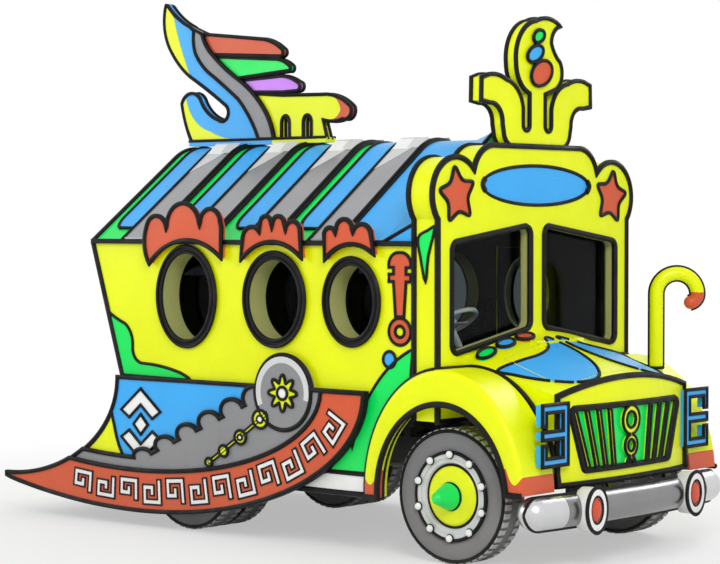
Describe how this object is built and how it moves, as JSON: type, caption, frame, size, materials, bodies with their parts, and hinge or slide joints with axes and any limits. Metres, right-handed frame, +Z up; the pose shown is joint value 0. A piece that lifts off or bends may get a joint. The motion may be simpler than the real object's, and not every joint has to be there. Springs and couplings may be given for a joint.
{
  "type": "school bus",
  "caption": "Short bonneted school bus with a striped gabled roof, oval portholes, sweeping tail skirts and carnival roof ornaments.",
  "frame": {"origin": "on the ground, at the middle of the overall length and width", "axes": "+X forward, +Y to the bus's left, +Z up"},
  "size_m": [5.64, 2.8482, 4.433],
  "materials": {
    "yellow_paint": "gloss enamel",
    "green_paint": "gloss enamel",
    "blue_paint": "gloss enamel",
    "red_paint": "gloss enamel",
    "steel_grey": "brushed",
    "grey_paint": "satin",
    "olive_paint": "satin",
    "white_paint": "gloss",
    "chassis_black": "satin",
    "cast_iron": "as cast",
    "bumper_chrome": "polished",
    "lamp_lens": "clear",
    "glass": "clear",
    "tyre": "moulded",
    "seat_vinyl": "stitched vinyl",
    "dark_plastic": "grained",
    "floor_ply": "sealed"
  },
  "bodies": {
    "bus_body": {"chassis_frame": "chassis_black", "leaf_springs": "chassis_black", "front_axle": "cast_iron", "rear_axle": "cast_iron", "engine_block": "cast_iron", "fuel_tank": "chassis_black", "exhaust": "steel_grey", "cabin_floor": "floor_ply", "side_panel_right": "yellow_paint", "side_panel_left": "yellow_paint", "rear_wall": "yellow_paint", "cab_front": "yellow_paint", "sign_panel": "blue_paint", "roof_shell": "green_paint", "roof_blue_panels": "blue_paint", "roof_ribs": "steel_grey", "gutters": "chassis_black", "window_glass": "glass", "port_rings": "olive_paint", "port_crests": "red_paint", "skirt_panels": "blue_paint", "skirt_blades": "grey_paint", "skirt_bands": "red_paint", "tail_apron": "yellow_paint", "nose_shell": "yellow_paint", "grille_panel": "green_paint", "grille_bars": "yellow_paint", "front_fenders": "yellow_paint", "cheek_brackets": "blue_paint", "front_bumper": "bumper_chrome", "bumper_lamps": "lamp_lens", "marker_lamps": "lamp_lens", "crook_arm": "yellow_paint", "seat_pads": "seat_vinyl", "seat_frames": "chassis_black", "dashboard": "dark_plastic", "steering_wheel": "white_paint", "roof_fin": "blue_paint", "fin_spine": "grey_paint", "roof_feathers": "red_paint", "ridge_comb": "yellow_paint", "roof_finial": "yellow_paint", "finial_studs": "red_paint"},
    "knuckle_right": {"knuckle_right": "cast_iron"},
    "knuckle_left": {"knuckle_left": "cast_iron"},
    "front_wheel_right": {"tyre_front_right": "tyre", "wheel_front_right": "grey_paint"},
    "front_wheel_left": {"tyre_front_left": "tyre", "wheel_front_left": "grey_paint"},
    "rear_wheels_right": {"tyres_rear_right": "tyre", "wheels_rear_right": "grey_paint"},
    "rear_wheels_left": {"tyres_rear_left": "tyre", "wheels_rear_left": "grey_paint"},
    "bonnet": {"bonnet": "yellow_paint"},
    "entry_door": {"entry_door": "yellow_paint", "entry_door_glass": "glass"},
    "rear_hatch": {"rear_hatch": "yellow_paint", "rear_hatch_glass": "glass"}
  },
  "joints": [
    {"name": "steer_right", "type": "hinge", "parent": "bus_body", "child": "knuckle_right", "pos_m": [1.87, -0.93, 0.5], "axis": [0, 0, 1], "range_deg": [-35, 35]},
    {"name": "steer_left", "type": "hinge", "parent": "bus_body", "child": "knuckle_left", "pos_m": [1.87, 0.93, 0.5], "axis": [0, 0, 1], "range_deg": [-35, 35]},
    {"name": "spin_front_right", "type": "hinge", "parent": "knuckle_right", "child": "front_wheel_right", "pos_m": [1.87, -1.045, 0.5], "axis": [0, 1, 0], "continuous": true},
    {"name": "spin_front_left", "type": "hinge", "parent": "knuckle_left", "child": "front_wheel_left", "pos_m": [1.87, 1.045, 0.5], "axis": [0, 1, 0], "continuous": true},
    {"name": "spin_rear_right", "type": "hinge", "parent": "bus_body", "child": "rear_wheels_right", "pos_m": [-0.88, -0.86, 0.5], "axis": [0, 1, 0], "continuous": true},
    {"name": "spin_rear_left", "type": "hinge", "parent": "bus_body", "child": "rear_wheels_left", "pos_m": [-0.88, 0.86, 0.5], "axis": [0, 1, 0], "continuous": true},
    {"name": "bonnet_lid", "type": "hinge", "parent": "bus_body", "child": "bonnet", "pos_m": [2.004, 0, 1.592], "axis": [0, -1, 0], "range_deg": [0, 50]},
    {"name": "entry_door_swing", "type": "hinge", "parent": "bus_body", "child": "entry_door", "pos_m": [1.102, 1.238, 1.38], "axis": [0, 0, -1], "range_deg": [0, 85]},
    {"name": "rear_hatch_lift", "type": "hinge", "parent": "bus_body", "child": "rear_hatch", "pos_m": [-1.89242, 0, 2.2265], "axis": [0, 1, 0], "range_deg": [0, 75]}
  ],
  "couplings": [
    {"joint": "steer_left", "follows": "steer_right", "ratio": 1}
  ]
}
